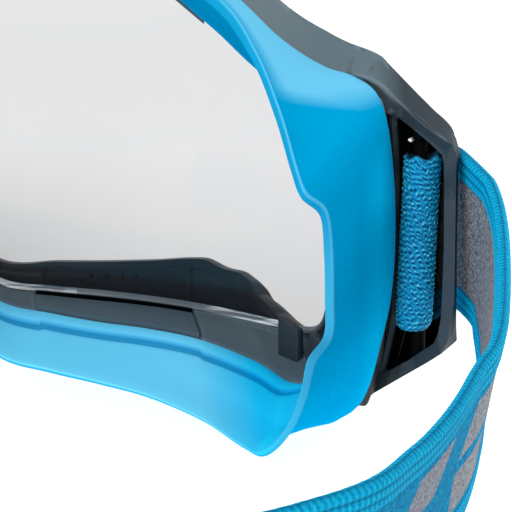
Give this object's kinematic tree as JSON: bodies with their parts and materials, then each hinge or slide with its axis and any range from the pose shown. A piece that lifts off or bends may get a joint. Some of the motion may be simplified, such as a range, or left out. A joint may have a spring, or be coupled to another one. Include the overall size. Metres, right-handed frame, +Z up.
{
  "type": "safety goggles",
  "caption": "Panoramic safety overglasses with a soft blue face seal, clear wrap lens, side outriggers and an elastic headband that swings over the frame.",
  "frame": {"origin": "on the surface it stands on, under the middle of the whole object", "axes": "+X to the wearer's right, +Y out through the lens, away from the face, +Z up; the headband loop lies towards -Y"},
  "size_m": [0.1936, 0.2109, 0.0865],
  "materials": {
    "seal": "satin soft thermoplastic rubber",
    "frame": "fine matte moulded plastic",
    "gasket": "black soft strip",
    "lens": "clear polished polycarbonate",
    "bezel": "semi-gloss moulded plastic",
    "baffle": "matte moulded plastic",
    "outrigger": "fine matte moulded plastic",
    "cover": "matte moulded plastic",
    "pin": "bright drawn wire",
    "webbing_loop": "knitted elastic, ribbed",
    "webbing": "knitted elastic with ribbed borders",
    "slider": "matte moulded plastic"
  },
  "bodies": {
    "frame_body": {"face_seal": "seal", "carrier_frame": "frame", "lens_gasket": "gasket", "lens_clips": "frame", "lower_vent_baffle_right": "baffle", "lower_vent_baffle_left": "baffle", "upper_vent_baffle": "baffle", "outrigger_right": "outrigger", "outrigger_left": "outrigger", "outrigger_cover_right": "cover", "outrigger_cover_left": "cover", "strap_pin_right": "pin", "strap_pin_left": "pin", "strap_end_right": "webbing", "strap_end_left": "webbing"},
    "lens_unit": {"lens": "lens", "lens_bezel": "bezel"},
    "right_loop": {"strap_loop_right": "webbing_loop"},
    "left_loop": {"strap_loop_left": "webbing_loop"},
    "band": {"headband": "webbing", "return_strap_left": "webbing"},
    "slider": {"adjuster_slider": "slider"}
  },
  "joints": [
    {"name": "lens_release", "type": "slide", "parent": "frame_body", "child": "lens_unit", "axis": [0, 1, 0], "range_m": [0, 0.03]},
    {"name": "right_loop_turn", "type": "hinge", "parent": "frame_body", "child": "right_loop", "pos_m": [0.08621, 0.05598, 0.0273], "axis": [0, 0, 1], "range_deg": [-20, 20]},
    {"name": "left_loop_turn", "type": "hinge", "parent": "frame_body", "child": "left_loop", "pos_m": [-0.08621, 0.05598, 0.0273], "axis": [0, 0, 1], "range_deg": [-20, 20]},
    {"name": "headband_swing", "type": "hinge", "parent": "frame_body", "child": "band", "pos_m": [0, 0.05598, 0.0273], "axis": [-1, 0, 0], "range_deg": [0, 150]},
    {"name": "adjuster_slide", "type": "slide", "parent": "band", "child": "slider", "axis": [0.0367, -0.9842, -0.1735], "range_m": [-0.01, 0.01]}
  ]
}
